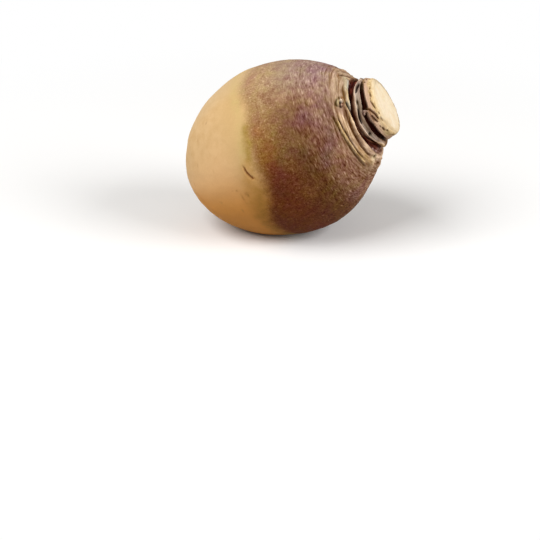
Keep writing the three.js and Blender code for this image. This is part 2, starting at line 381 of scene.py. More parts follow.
# Ridges and valleys of the oldest scars, on the near side, from the body to the fold.
for path, height, colour, strength, edge in (
    ([(62, 45.2, 0.5), (70, 46.4, 0.7), (82, 47.2, 0.85), (92, 48.0, 0.8), (104, 48.5, 0.6),
      (120, 48.9, 0.4), (134, 49.2, 0.3)], -0.6, valley_brown, 0.95, 2),
    ([(69, 47.3, 0.3), (72, 47.6, 0.42), (76, 47.8, 0.46), (90, 48.7, 0.46), (103, 49.5, 0.42),
      (117, 49.9, 0.4), (130, 50.2, 0.35)], 0.6, ridge_yellow, 0.9, 3),
    ([(64, 49.2, 0.9), (77, 50.2, 1.25), (93, 50.95, 1.25), (109, 51.4, 1.05), (126, 52.0, 0.95),
      (150, 51.8, 1.1)], 0.65, ridge_tan, 0.85, 4),
    ([(66, 47.9, 0.2), (74, 48.45, 0.27), (85, 49.3, 0.3), (96, 49.75, 0.3), (108, 50.3, 0.27),
      (124, 50.8, 0.22)], -0.55, (74, 44, 16), 0.95, 2),
    ([(76, 50.6, 0.12), (92, 51.3, 0.15), (108, 51.7, 0.12)], -0.15, (150, 112, 80), 0.6, 2),
    ([(44, 52.2, 0.4), (58, 52.6, 0.62), (74, 52.8, 0.78), (88, 52.75, 0.74), (101, 52.85, 0.56),
      (117, 53.1, 0.4), (132, 53.5, 0.32)], -0.9, (94, 58, 26), 0.97, 3),
    ([(50, 53.3, 0.22), (58, 53.5, 0.28), (66, 53.7, 0.3), (74, 53.85, 0.3), (84, 53.9, 0.28),
      (92, 53.8, 0.22)], 0.5, (212, 180, 138), 0.95, 3),
    ([(76, 54.4, 0.25), (82, 54.1, 0.38), (89, 53.95, 0.5), (97, 54.0, 0.6), (106, 54.3, 0.78),
      (116, 54.7, 0.92), (128, 55.1, 1.05), (142, 55.3, 1.15), (162, 54.9, 0.9)],
     0.7, ridge_pink, 0.95, 3),
):
    stroke(path, height, colour, strength, edge)
stroke([(104, 51.2, 0.9), (120, 51.6, 1.0), (138, 51.8, 1.1)], 0.0, (196, 156, 104), 0.7)
spot(143, 53.6, 2.6, 1.5, 0.0, (226, 204, 156), 0.6)
spot(143.5, 54.5, 1.4, 0.65, -0.5, (84, 60, 28), 1.0, edge=3)
spot(146, 53.4, 1.0, 0.5, 0.2, (236, 208, 178), 0.8)
spot(151, 52.2, 2.0, 0.5, -0.3, (142, 94, 54), 0.8)

# The pale lip over the upper side, the olive crease beside it, and the crack it ends in.
stroke([(2, 54.4, 1.1), (8, 54.6, 1.25), (16, 54.9, 1.25), (29, 54.8, 0.88), (37, 54.85, 0.7),
        (45, 54.8, 0.7), (52, 54.85, 0.66), (57, 55.0, 0.48), (65, 55.05, 0.22)],
       0.7, lip_pale, 0.97, edge=4, taper=4)
stroke([(10, 55.5, 0.4), (20, 55.5, 0.4), (32, 55.2, 0.28)], 0.1, (192, 188, 174), 0.85)
stroke([(34, 54.7, 0.4), (44, 54.7, 0.45), (52, 54.8, 0.4)], 0.1, lip_cream, 0.8)
stroke([(50, 55.2, 0.25), (57, 55.1, 0.38), (66, 55.1, 0.3)], 0.3, (252, 230, 208), 1.0, taper=4)
stroke([(26, 53.5, 0.35), (39, 53.6, 0.55), (46, 53.5, 0.55), (52, 53.4, 0.45), (58, 53.5, 0.25)],
       -0.6, (110, 78, 34), 0.95)
stroke([(51, 53.9, 0.3), (55, 54.0, 0.5), (60, 54.25, 0.6), (66, 54.65, 0.56), (75, 55.0, 0.35)],
       -0.9, (20, 6, 0), 1.0, edge=4, taper=3)
spot(0, 55.3, 0.55, 1.8, 0.4, (230, 200, 150), 0.95)
spot(6.5, 55.1, 1.1, 0.42, -0.35, (102, 76, 44), 0.95, edge=3)
stroke([(-16, 56.8, 0.7), (-10, 55.2, 0.75), (-4, 53.5, 0.75), (0, 52.7, 0.65), (5, 51.8, 0.45)],
       -0.9, (62, 36, 12), 1.0, taper=4)
spot(7, 51.4, 3.2, 0.7, -0.35, (146, 102, 62), 0.85)
stroke([(-24, 55.6, 1.0), (-8, 52.4, 1.0), (-2, 50.6, 0.8)], 0.4, (188, 164, 138), 0.6)
for path, height, colour, strength in (
    ([(6, 51.9, 0.25), (22, 51.8, 0.3), (40, 51.4, 0.25)], -0.25, (140, 106, 72), 0.8),
    ([(-14, 49.6, 0.4), (8, 49.3, 0.45), (28, 48.9, 0.4)], 0.25, (196, 162, 134), 0.6),
    ([(-12, 48.7, 0.3), (6, 48.5, 0.35), (20, 48.5, 0.3)], -0.3, (138, 102, 70), 0.75),
    ([(8, 50.5, 0.4), (24, 50.4, 0.45), (38, 50.2, 0.35)], 0.15, (178, 148, 118), 0.6),
    ([(22, 51.1, 0.22), (32, 50.9, 0.26), (42, 50.7, 0.22)], -0.2, (140, 108, 80), 0.7),
    ([(10, 47.6, 0.3), (24, 47.7, 0.3), (36, 47.4, 0.25)], -0.25, (140, 108, 74), 0.7),
    ([(-18, 46.4, 0.4), (2, 46.0, 0.4), (18, 45.8, 0.3)], -0.2, (140, 106, 80), 0.55),
    ([(48, 47.8, 0.35), (60, 48.6, 0.4), (66, 49.0, 0.3)], -0.25, (136, 100, 72), 0.6),
    ([(58, 47.0, 0.4), (66, 47.9, 0.3)], 0.2, (190, 160, 130), 0.6),
):
    stroke(path, height, colour, strength)

# The lower fold, wide and full of dry maroon tissue above and below, narrow between.
lower_fold = [
    (-30, 58.2, 0.7), (-12, 58.5, 1.6), (4, 58.3, 2.0), (18, 57.8, 1.65), (27, 57.25, 1.38),
    (35, 56.95, 1.25), (44, 56.6, 1.15), (52, 56.3, 1.05), (60, 56.0, 0.98), (68, 55.75, 0.95),
    (76, 55.55, 0.92), (86, 55.45, 0.9), (96, 55.75, 1.0), (106, 56.2, 1.2), (116, 56.9, 1.45),
    (128, 57.6, 1.8), (140, 58.1, 2.1), (156, 57.9, 1.8), (176, 57.4, 1.3), (205, 56.6, 0.8),
    (240, 56.0, 0.7), (275, 56.4, 0.9), (305, 57.4, 1.1), (330, 58.2, 0.7),
]
# Its dark brown, and the darker band drawn next, are partly the tissue's colour and partly painted shade
# in the fold.
stroke(lower_fold, -2.4, fold_brown_and_shade, 1.0, edge=6, taper=14, tint_width=1.14)
stroke([(26, 57.0, 0.6), (40, 56.5, 0.7), (52, 56.1, 0.7), (64, 55.7, 0.65), (80, 55.2, 0.55),
        (96, 55.4, 0.4)], 0.0, (36, 14, 8), 0.9, edge=4)
for path, height, colour, strength in (
    ([(-14, 58.4, 1.1), (4, 58.5, 1.5), (16, 58.3, 1.3), (26, 57.6, 0.8), (34, 57.0, 0.4)],
     0.9, (122, 52, 36), 0.85),
    ([(-12, 57.8, 0.3), (6, 58.0, 0.35), (22, 57.6, 0.3)], -0.5, (40, 14, 12), 0.95),
    ([(2, 56.9, 0.3), (14, 57.0, 0.35), (28, 56.6, 0.3)], -0.2, (62, 32, 36), 0.9),
    ([(-8, 59.4, 0.4), (6, 59.5, 0.42), (18, 59.1, 0.35)], 0.4, (146, 66, 50), 0.85),
    ([(4, 58.6, 0.25), (16, 58.5, 0.3), (30, 57.6, 0.25)], -0.4, (48, 18, 12), 0.9),
    # A near-black line along the fold's edge: partly dark tissue, partly painted shade.
    ([(64, 55.2, 0.3), (83, 54.85, 0.3), (100, 55.2, 0.3), (111, 55.7, 0.33), (122, 56.2, 0.33),
      (136, 56.3, 0.36), (147, 55.9, 0.36)], -0.5, fold_black_and_shade, 0.95),
    ([(86, 55.5, 0.2), (99, 56.0, 0.26), (113, 57.0, 0.36), (125, 58.0, 0.42), (141, 59.1, 0.36)],
     1.0, strip_brown, 0.85),
    ([(106, 56.3, 0.4), (122, 57.0, 0.7), (136, 57.6, 0.9), (150, 57.6, 0.9)], 0.9, maroon, 0.85),
    ([(112, 56.6, 0.2), (126, 57.3, 0.26), (140, 58.2, 0.26)], -0.4, (52, 22, 14), 0.85),
    ([(144, 57.0, 0.7), (156, 57.2, 1.1), (176, 57.3, 1.0)], 1.1, dry_mauve, 0.8),
    ([(270, 56.5, 0.6), (292, 57.0, 0.8), (310, 57.4, 0.7)], 0.8, maroon, 0.8),
):
    stroke(path, height, colour, strength)
spot(9, 56.5, 0.6, 0.4, 0.5, (216, 160, 130), 0.9)
for at_turn, at_axial in ((146, 56.6), (153, 57.6), (139, 56.4), (161, 57.0), (168, 57.8)):
    spot(at_turn, at_axial, 0.7, 0.45, 0.5, (200, 166, 156), 0.85)

# The collar between the two folds: the highest scar, with a pale rim and dark strand marks.
collar = [
    (-60, 60.0, 1.3), (-20, 60.8, 1.2), (4, 61.3, 1.0), (18, 60.6, 1.2), (27, 60.0, 1.45),
    (35, 59.8, 1.6), (44, 59.55, 1.7), (52, 59.2, 1.9), (60, 58.95, 1.85), (68, 58.6, 1.6),
    (78, 58.4, 1.8), (88, 58.3, 2.0), (96, 58.6, 2.2), (106, 59.15, 1.85), (116, 59.9, 1.5),
    (128, 60.5, 1.1), (138, 60.9, 0.8), (156, 61.2, 0.6),
]
stroke(collar, 0.15, collar_grey, 0.97, edge=6)
for path, height, colour, strength in (
    ([(40, 59.9, 0.7), (52, 59.6, 0.8), (64, 59.1, 0.7)], 0.0, (150, 132, 112), 0.7),
    ([(58, 59.3, 0.6), (70, 59.3, 0.9), (84, 59.4, 0.9), (102, 59.8, 0.4)], -0.2, (92, 72, 52), 0.85),
    ([(88, 57.8, 0.6), (100, 58.4, 0.6), (114, 59.3, 0.4)], 0.1, (186, 172, 156), 0.6),
    ([(30, 59.3, 0.3), (42, 58.7, 0.4), (56, 58.0, 0.4)], 0.0, (192, 180, 166), 0.6),
    ([(34, 60.9, 0.2), (46, 60.5, 0.22), (60, 60.0, 0.2)], -0.15, (110, 92, 74), 0.6),
    ([(16, 61.7, 0.4), (30, 61.2, 0.4), (44, 60.9, 0.35), (56, 60.6, 0.3)], 0.15, (204, 176, 156), 0.8),
    ([(84, 58.7, 0.15), (96, 59.0, 0.18), (110, 59.6, 0.15)], -0.15, (126, 108, 88), 0.6),
):
    stroke(path, height, colour, strength)
stroke([(72, 59.3, 0.7), (82, 58.95, 1.0), (91, 58.75, 0.95), (101, 58.9, 0.4)],
       0.0, (104, 80, 58), 0.75, edge=3)
# A brown line under the collar's pale rim is painted shade on the wall below it.
stroke([(28, 58.8, 0.3), (36, 58.1, 0.32), (44, 57.65, 0.32), (54, 57.25, 0.3), (65, 56.85, 0.3),
        (76, 56.5, 0.3), (85, 56.35, 0.3), (94, 56.6, 0.3), (105, 57.3, 0.3), (115, 58.2, 0.25)],
       0.0, (112, 66, 38), 0.9, edge=3)
# The collar's raised pale rim is partly pale scar tissue and partly a painted highlight.
stroke([(-6, 61.4, 0.35), (0, 61.1, 0.42), (12, 59.9, 0.44), (24, 59.0, 0.4), (36, 58.3, 0.36),
        (44, 58.1, 0.36), (54, 57.7, 0.34), (65, 57.3, 0.34), (76, 56.95, 0.34), (85, 56.8, 0.34),
        (94, 57.05, 0.36), (105, 57.7, 0.38), (115, 58.5, 0.4), (126, 59.65, 0.4),
        (141, 60.8, 0.4), (152, 61.1, 0.35)], 0.5, collar_pale_and_highlight, 0.95, edge=3)
# A near-black line under the collar's pale rim: partly dark tissue, partly painted shade.
stroke([(96, 56.0, 0.18), (111, 57.0, 0.24), (124, 58.5, 0.26), (138, 59.9, 0.22)],
       -0.6, fold_black_and_shade, 0.95)
stroke([(131, 59.7, 0.3), (142, 60.2, 0.5), (150, 60.4, 0.6), (160, 59.9, 0.5)],
       0.9, (236, 200, 148), 0.95)
stroke([(13, 61.3, 0.38), (20, 60.85, 0.62), (27.5, 60.2, 0.7), (37, 59.3, 0.5)],
       -1.1, (30, 10, 2), 1.0, edge=4, taper=3)
spot(53.6, 58.95, 1.9, 0.75, -0.5, (58, 44, 24), 1.0, edge=3)
spot(62.5, 58.6, 1.5, 0.5, -0.25, (96, 84, 66), 0.75)
stroke([(64, 58.3, 0.4), (70, 58.0, 0.65), (75, 57.75, 0.72), (80, 57.6, 0.65), (86, 57.5, 0.4)],
       -1.1, (30, 12, 2), 1.0, edge=4, taper=4)
spot(106.4, 59.05, 1.6, 0.95, -0.9, (40, 26, 8), 1.0, edge=3)
spot(110.5, 59.3, 1.0, 0.6, 0.0, (120, 108, 88), 0.7)

# The upper fold runs in under the stump. It is four folds that pass each other, two of them
# at a torn flake, and over the top the stump and the collar have grown together.
upper_folds = (
    [(3, 62.4, 0.3), (9, 62.5, 0.6), (14, 62.6, 0.8), (22, 62.55, 0.95), (38, 62.4, 1.1),
     (50, 62.3, 1.2), (59, 62.4, 1.4), (69, 62.1, 1.25)],
    [(69, 60.9, 0.6), (76, 61.35, 1.05), (85, 61.6, 1.15), (94, 61.9, 1.15), (105, 62.2, 1.15),
     (121, 62.55, 1.0), (138, 63.0, 0.95), (154, 62.95, 0.8), (168, 62.8, 0.7)],
    [(160, 62.8, 0.7), (190, 62.4, 1.0), (215, 62.0, 1.1), (244, 61.7, 0.9)],
    [(232, 62.9, 0.8), (262, 63.0, 1.1), (292, 62.7, 1.1), (325, 62.1, 0.9), (340, 62.0, 0.5)],
)
# The folds are near-black: partly dark tissue, partly painted shade in their depth.
for path in upper_folds:
    stroke(path, -3.6, fold_black_and_shade, 1.0, edge=6, taper=6, tint_width=1.12)
stroke([(66, 61.3, 0.22), (69.5, 61.45, 0.42), (73, 61.5, 0.42), (77, 61.4, 0.22)],
       2.4, (224, 192, 174), 1.0, edge=3, taper=3)
spot(70, 62.1, 0.5, 0.9, 0.8, (216, 180, 160), 0.9)
spot(66.5, 60.8, 0.9, 0.6, -0.5, (60, 36, 20), 0.9)
# A dark hollow beside the flake: partly dark tissue, partly painted shade.
spot(74.5, 60.2, 1.5, 0.6, -0.7, fold_brown_and_shade, 1.0, edge=3)

# Dark maroon tissue lines the upper fold on the near side.
for path in (
    [(10, 62.6, 0.4), (30, 62.6, 0.6), (50, 62.5, 0.7), (62, 62.4, 0.7), (70, 61.9, 0.5)],
    [(76, 61.4, 0.5), (94, 61.8, 0.6), (112, 62.3, 0.6), (134, 62.9, 0.4)],
):
    stroke(path, 0.0, (66, 22, 8), 0.8)

# The stump's side is pinkish skin, and brown creases and pits break its tan cut rim.
tint(smooth(drawn_axial, 63.5, 64.2), stump_mauve, 1.0)
# Pale raised strokes along the upper folds' top edges: partly pale skin, partly a painted highlight.
for path in (
    [(12, 63.7, 0.2), (38, 63.85, 0.28), (58, 64.1, 0.3), (68, 63.8, 0.2)],
    [(74, 62.5, 0.2), (85, 62.85, 0.28), (94, 63.15, 0.28), (105, 63.6, 0.28), (121, 63.95, 0.28),
     (140, 64.3, 0.22)],
):
    stroke(path, 0.25, (216, 180, 154), 0.95, edge=3)
torn = speckle(2.0, seed=17)
ragged = drawn_axial + 0.8 * speckle(3, seed=13)
rise += smooth(ragged, 66.0, 67.4) * 0.22 * torn
tint(smooth(ragged, 65.9, 67.3), rim_tan, 0.95)
tint(smooth(ragged, 66.2, 67.2) * smooth(torn, 0.05, 0.45), rim_olive, 0.65)
tint(smooth(ragged, 67.0, 68.0) * smooth(speckle(1.3, seed=14), 0.05, 0.4), (246, 224, 180), 0.8)
tint(smooth(drawn_axial + 0.7 * torn, neck_cut - 0.9, neck_cut - 0.1), cut_cream, 1.0)
# A paler band low on the rim's near side: partly cream reaching lower, partly painted light where the rim
# faces down.
stroke([(84, 67.4, 0.9), (96, 66.8, 1.2), (110, 66.4, 1.3), (124, 66.4, 1.3), (142, 66.6, 1.1)],
       0.0, (246, 214, 170), 0.75, edge=3)
stroke([(66, 63.2, 0.6), (74, 64.6, 1.1), (79, 65.5, 1.1), (86, 66.3, 0.9), (95, 66.8, 0.5)],
       0.0, (152, 108, 66), 0.75, taper=4)
stroke([(67, 62.9, 0.45), (73, 64.4, 0.85), (78, 65.4, 0.85), (84, 66.3, 0.75), (93, 66.9, 0.4)],
       -0.9, crease_brown, 1.0, edge=3, taper=3)
stroke([(82, 63.7, 0.4), (88, 64.3, 0.8), (93, 64.9, 0.85), (99, 65.6, 0.4)],
       -0.8, crease_brown, 1.0, edge=3, taper=3)
stroke([(54, 66.3, 0.3), (60, 66.8, 0.56), (66, 67.2, 0.56), (72, 67.7, 0.3)],
       -0.5, (96, 64, 26), 0.95, edge=3, taper=3)
spot(8, 64.0, 1.0, 0.6, -0.5, (74, 48, 24), 1.0, edge=3)
spot(-6, 64.8, 1.6, 0.6, -0.4, (92, 64, 34), 0.95)
spot(6, 62.9, 4.0, 1.0, 0.0, (150, 118, 84), 0.8)
spot(14, 66.3, 2.0, 0.7, -0.2, (176, 142, 98), 0.8)
spot(133, 66.4, 3.0, 1.3, -0.2, (176, 152, 96), 0.7)
spot(14, 68.0, 2.4, 0.8, 0.0, (186, 154, 104), 0.6)
spot(42, 67.5, 2.4, 0.7, 0.0, (182, 148, 98), 0.55)
spot(80, 63.4, 1.8, 0.6, 0.0, (150, 104, 80), 0.6)
for at_turn, at_axial, along, across in (
    (27, 67.5, 0.9, 0.35), (42.5, 67.3, 1.5, 0.6), (50, 66.7, 0.6, 0.3), (82.5, 68.8, 0.9, 0.4),
    (94, 68.4, 0.9, 0.4), (99, 68.4, 1.0, 0.4), (109, 65.5, 0.9, 0.4), (117, 66.1, 1.5, 0.65),
    (126, 67.2, 0.9, 0.4), (152, 67.0, 0.9, 0.4),
    (166, 65.6, 1.6, 0.4), (187, 67.4, 0.7, 0.3), (201, 66.4, 1.9, 0.45), (249, 67.5, 0.8, 0.4),
    (256, 66.2, 1.3, 0.35), (291, 66.9, 2.1, 0.4), (318, 67.6, 0.6, 0.3), (340, 66.5, 1.4, 0.45),
):
    spot(at_turn, at_axial, along, across, -0.5, pit_brown, 0.95, edge=3)

# The cut face: a small knife facet low on its near side, and slightly uneven pale flesh with
# faint marks that run the way the knife went.
up_face, near_face = plain[:, 0], plain[:, 1]
facet_turn = math.radians(129)
facet_start = 13.6
lean = up_face * math.cos(facet_turn) + near_face * math.sin(facet_turn)
on_top = smooth(axial, neck_cut - cut_bevel, neck_cut)
face_rise = -0.45 * np.maximum(lean - facet_start, 0)
rise += on_top * (face_rise + 0.12 * speckle(6, seed=8) + 0.04 * speckle(1.1, seed=9))
edge_wave = 0.4 * speckle(2, seed=15)
tint(on_top * smooth(lean + edge_wave, facet_start, facet_start + 0.6), facet_cream, 0.8)
tint(on_top * np.exp(-(((lean + edge_wave - facet_start) / 0.4) ** 2)), (255, 242, 214), 0.8)
tint(on_cut * smooth(speckle(4.0, seed=10), 0.0, 0.6), (244, 216, 172), 0.5)
tint(on_cut * smooth(speckle(2.4, seed=19), 0.2, 0.7), (244, 234, 198), 0.5)
knife_turn = math.radians(-24)
along_knife = up_face * math.cos(knife_turn) + near_face * math.sin(knife_turn)
across_knife = near_face * math.cos(knife_turn) - up_face * math.sin(knife_turn)
knife = np.array([noise.fractal(Vector((a / 16, b / 1.1, 3.7)), 1.0, 2.0, 2)
                  for a, b in zip(along_knife, across_knife)])
rise += on_top * 0.05 * knife
tint(on_cut * smooth(knife, 0.1, 0.6), (236, 206, 160), 0.35)
tint(on_cut * smooth(-knife, 0.2, 0.7), (255, 246, 224), 0.4)
# The face turns darker tan towards its rim.
rim_distance = radius + 0.8 * speckle(3, seed=18)
tint(on_cut * smooth(rim_distance, 12.8, 15.2), (232, 206, 162), 0.6)
# Painted shade along the face's far edge, where it rounds away.
tint(on_cut * smooth(rim_distance, 13.3, 14.8) * smooth(-near_face, -2, 6), (190, 168, 132), 0.8)


def bud_eye(at_turn, at_axial, size=1.0):
    """A low mound with a pale tip, partly a painted highlight, dark pits, and a crease on the side of the
    root's body.
    """
    for turn_off, axial_off, along, across, height, colour, strength in (
        (0, 0, 3.4, 1.9, 0.35, (168, 138, 102), 0.85),
        (-0.3, -0.8, 1.7, 0.75, 0.0, (186, 166, 120), 0.85),
        (-4.4, 0.3, 1.3, 0.7, -0.5, (84, 56, 24), 1.0),
        (-6.0, 2.0, 0.9, 0.5, -0.2, (140, 94, 50), 0.85),
        (1.8, 1.7, 1.3, 0.65, -0.3, (104, 58, 30), 0.95),
        (2.1, 0.1, 0.9, 0.5, -0.3, (82, 44, 24), 0.95),
        # The pale tip over the pit: partly pale tissue, partly a painted highlight.
        (-1.3, 0.9, 1.0, 0.85, 0.5, (250, 228, 202), 1.0),
        (0.7, 0.6, 0.95, 0.75, -1.2, (26, 8, 0), 1.0),
        (4.6, 0.35, 1.15, 0.95, -1.0, (44, 18, 8), 1.0),
        (2.8, 1.0, 0.6, 0.4, 0.4, (196, 156, 132), 0.9),
    ):
        spot(at_turn + turn_off * size, at_axial + axial_off * size, along * size, across * size,
             height * size, colour, strength, edge=3)
    stroke(
        [(at_turn + turn_off * size, at_axial + axial_off * size, half * size)
         for turn_off, axial_off, half in
         ((-3.8, -0.8, 0.4), (-1.8, -1.2, 0.55), (0.4, -1.6, 0.65), (2.8, -1.6, 0.65), (5.4, -1.1, 0.5))],
        -0.6 * size, (66, 46, 14), 1.0, edge=3, taper=2,
    )


# Bud eyes sit at the foot of the neck: one in front, one underneath and one at the back.
bud_eye(51.5, 50.7)
bud_eye(196, 50.6, 0.9)
bud_eye(318, 51.6, 1.0)

# The far side's scars, which go on round the neck as the near ones do.
for path, height, colour in (
    ([(160, 52.3, 0.5), (182, 52.6, 0.5), (215, 53.4, 0.5), (240, 54.6, 0.4)], -0.9, valley_brown),
    ([(165, 54.2, 0.9), (195, 54.6, 0.9), (225, 55.0, 0.7)], 0.7, ridge_pink),
    ([(178, 50.4, 0.9), (205, 50.9, 1.0), (238, 51.3, 0.9), (262, 51.2, 0.7)], 0.75, ridge_tan),
    ([(186, 48.2, 0.6), (212, 48.9, 0.6), (244, 49.4, 0.5)], -0.6, valley_brown),
    ([(236, 53.6, 0.8), (262, 53.4, 0.9), (292, 53.9, 0.8), (318, 55.0, 0.6)], 0.7, lip_pale),
    ([(248, 52.0, 0.45), (276, 52.0, 0.5), (304, 52.5, 0.5), (330, 53.8, 0.4)], -0.9, valley_brown),
    ([(282, 50.3, 0.8), (308, 49.8, 0.9), (338, 50.6, 0.8)], 0.7, ridge_tan),
    ([(284, 48.3, 0.6), (312, 47.6, 0.6), (344, 48.4, 0.5)], -0.6, valley_brown),
):
    stroke(path, height, colour, 0.9)
for at_turn, at_axial, along, across in (
    (171, 60.9, 1.0, 0.5), (197, 60.2, 2.0, 0.55), (206, 59.6, 0.8, 0.4), (239, 59.3, 1.4, 0.7),
    (268, 59.9, 0.9, 0.4), (276, 59.2, 1.8, 0.5), (322, 60.4, 1.2, 0.5),
):
    spot(at_turn, at_axial, along, across, -0.5, (72, 50, 28), 1.0, edge=3)

# A slit crack in the cream skin, and small corky marks.
stroke([(77.5, -10.3, 0.25), (80.5, -9.9, 0.5), (83.5, -9.3, 0.8), (86, -8.2, 0.5), (87.5, -6.9, 0.25)],
       -0.8, (104, 40, 16), 1.0, taper=2)
stroke([(80, -8.9, 0.4), (83.5, -8.0, 0.5), (86, -6.9, 0.4)], 0.12, (234, 190, 132), 0.5, taper=4)
stroke([(86.5, -7.6, 0.3), (90, -4.6, 0.35), (94, -1.6, 0.3)], -0.1, (168, 104, 56), 0.6, taper=3)
for path, strength in (
    ([(90, -22.5, 0.25), (95, -20.5, 0.4), (100, -19.8, 0.4), (105, -19.6, 0.25)], 0.45),
    ([(94, -17.6, 0.25), (99, -16.4, 0.35), (104, -17.0, 0.25)], 0.4),
    ([(86, -25.5, 0.25), (92, -24.6, 0.35), (96, -25.2, 0.25)], 0.3),
    ([(40, -37.0, 0.3), (46, -38.2, 0.4), (52, -38.0, 0.3)], 0.25),
    ([(68, -30.0, 0.3), (73, -31.0, 0.35), (77, -30.4, 0.3)], 0.22),
):
    stroke(path, -0.04, (178, 112, 60), strength, taper=3)
for at_turn, at_axial, along, across, strength in (
    (35, -28.5, 0.9, 0.6, 0.6), (64, -42.8, 1.8, 0.6, 0.5), (97, -16.0, 1.6, 0.7, 0.6),
    (101, -37.0, 1.7, 0.7, 0.5), (24, -44.0, 1.2, 0.5, 0.4), (110, -26.0, 1.6, 0.5, 0.5),
    (58, -20.5, 0.6, 0.5, 0.35), (80, -52.0, 1.8, 0.5, 0.4), (12, -14.0, 0.9, 0.5, 0.35),
):
    spot(at_turn, at_axial, along, across, -0.12, (166, 116, 66), strength)

# Rootlets grew from two rows down the hidden sides, and each left a short corky crease.
draw = np.random.default_rng(7)
for row in (202, 338):
    for step in range(12):
        at_axial = -8 - 4.4 * step + draw.uniform(-1.2, 1.2)
        at_turn = row + draw.uniform(-5, 5) * (1 + 0.1 * step)
        length = draw.uniform(1.4, 3.0)
        spot(at_turn, at_axial, length, 0.55, -0.45, (150, 104, 62), 0.8)
        spot(at_turn, at_axial - 1.0, length, 0.6, 0.2, (214, 176, 126), 0.4)

# The taproot was cut off at the tail, where the skin is ringed and corky.
tail_skin = 1 - smooth(axial, -61.5, -56)
rise += tail_skin * 0.25 * speckle(1.6, along=4, octaves=2, seed=11)
tint(tail_skin * (0.6 + 0.5 * speckle(3, seed=12)), (214, 168, 108), 0.6)
tint((axial < -62.6) * (radius < 6.2), (240, 216, 172), 0.95)
growth_ring = np.exp(-(((radius - 3.6 - 0.3 * speckle(1.5, seed=20)) / 0.35) ** 2))
tint(growth_ring * (axial < -63.2), (196, 160, 112), 0.6)
skin_ring = np.exp(-(((radius - taproot_radius) / 0.4) ** 2))
tint(skin_ring * (axial < -61.5), (140, 100, 60), 0.75)

# The skin is pushed in and out. The cut then tilts, the stump swells on its upper side, and
# the neck drifts a little off the axis.
moved = plain + outward * rise[:, None]
on_stump = smooth(axial, stump_base[1], neck_cut)
moved[:, 2] -= on_stump * radius * math.tan(cut_tilt) * np.cos(np.radians(turn) - cut_tilt_turn)
swell = 0.07
swell_turn, swell_spread = -14, 32
swollen_side = np.exp(-((turned(turn, swell_turn) / swell_spread) ** 2))
moved[:, :2] *= 1 + swell * smooth(axial, 61.5, 63.5)[:, None] * swollen_side[:, None]
drift_up, drift_near = 1.8, 0.1
drift = smooth(axial, 38, 66)
moved[:, 0] += drift * drift_up
moved[:, 1] += drift * drift_near

# The root is laid down with its neck raised, and pressed flat where it rests.
axis = np.array([math.cos(axis_rise), 0, math.sin(axis_rise)])
upper_side = np.array([-math.sin(axis_rise), 0, math.cos(axis_rise)])
near_side = np.array([0, -1.0, 0])
laid = moved[:, 2:3] * axis + moved[:, 0:1] * upper_side + moved[:, 1:2] * near_side
spot_depth = 2.5
spot_softness = 1.2
spot_paring = 0.4
floor_height = laid[:, 2].min() + spot_depth
above = laid[:, 2] - floor_height
laid[:, 2] = np.maximum((above + np.hypot(above, spot_softness)) / 2 - spot_paring, 0)
cad_low, cad_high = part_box("rutabaga_root")
girth_middle = np.array([0, 0, -floor_height - spot_paring])
for side in (0, 1):
    middle = (laid[:, side].min() + laid[:, side].max()) / 2
    girth_middle[side] = (cad_low[side] + cad_high[side]) / 2 / MM - middle
    laid[:, side] += girth_middle[side]
mesh.vertices.foreach_set("co", (laid * MM).ravel())
mesh.update()


def keep_attribute(name, kind, values):
    """Stores a value for every vertex under a name that the material reads."""
    made = mesh.attributes.new(name, kind, "POINT")
    field = {"FLOAT": "value", "FLOAT_VECTOR": "vector"}[kind]
    made.data.foreach_set(field, np.asarray(values, np.float32).ravel())


# Strands in the crown run beside the lower fold, which dips and rises round the neck.
fold_line = catmull(lower_fold)
dip = np.interp((turn + 30) % 360 - 30, fold_line[:, 0], fold_line[:, 1]) - 57
strand = axial - dip * smooth(axial, 40, 55)

# A trace of tan under the paint keeps its colour defined where nothing was painted.
trace = 1e-3
undercoat = np.array(linear(160, 120, 90)) * trace
keep_attribute("root_place", "FLOAT_VECTOR", plain[:, [2, 0, 1]])
keep_attribute("strand_place", "FLOAT_VECTOR", np.column_stack([strand, plain[:, :2]]))
keep_attribute("past_edge", "FLOAT", past_edge)
keep_attribute("paint", "FLOAT_VECTOR", (paint + undercoat) / (cover + trace)[:, None])
keep_attribute("cover", "FLOAT", cover)


class Wire:
    """A shader node's output, used in Python sums as if it were a number."""

    nodes = None
    links = None

    def __init__(self, socket):
        self.socket = socket

    @classmethod
    def node(cls, kind, settings, inputs, output=0):
        """A new node: its settings first, then values or wires for its numbered sockets."""
        made = cls.nodes.new(kind)
        for name, value in settings.items():
            setattr(made, name, value)
        for index, value in inputs.items():
            if isinstance(value, Wire):
                cls.links.new(value.socket, made.inputs[index])
            else:
                made.inputs[index].default_value = value
        return cls(made.outputs[output])

    def math(self, operation, other, swap=False):
        """A Math node on this wire and another wire or a number."""
        pair = {0: other, 1: self} if swap else {0: self, 1: other}
        return Wire.node("ShaderNodeMath", {"operation": operation}, pair)

    def __add__(self, other):
        return self.math("ADD", other)

    __radd__ = __add__

    def __sub__(self, other):
        return self.math("SUBTRACT", other)

    def __rsub__(self, other):
        return self.math("SUBTRACT", other, swap=True)

    def __mul__(self, other):
        return self.math("MULTIPLY", other)

    __rmul__ = __mul__

    def __truediv__(self, other):
        return self.math("DIVIDE", other)

    def between(self, low, high):
        """0 below low, 1 above high, and a soft rise between them."""
        settings = {"interpolation_type": "SMOOTHSTEP"}
        return Wire.node("ShaderNodeMapRange", settings, {0: self, 1: low, 2: high})


def attribute(name, output):
    """What was stored on the mesh: output 1 is a vector and output 2 a number."""
    return Wire.node("ShaderNodeAttribute", {"attribute_name": name}, {}, output)


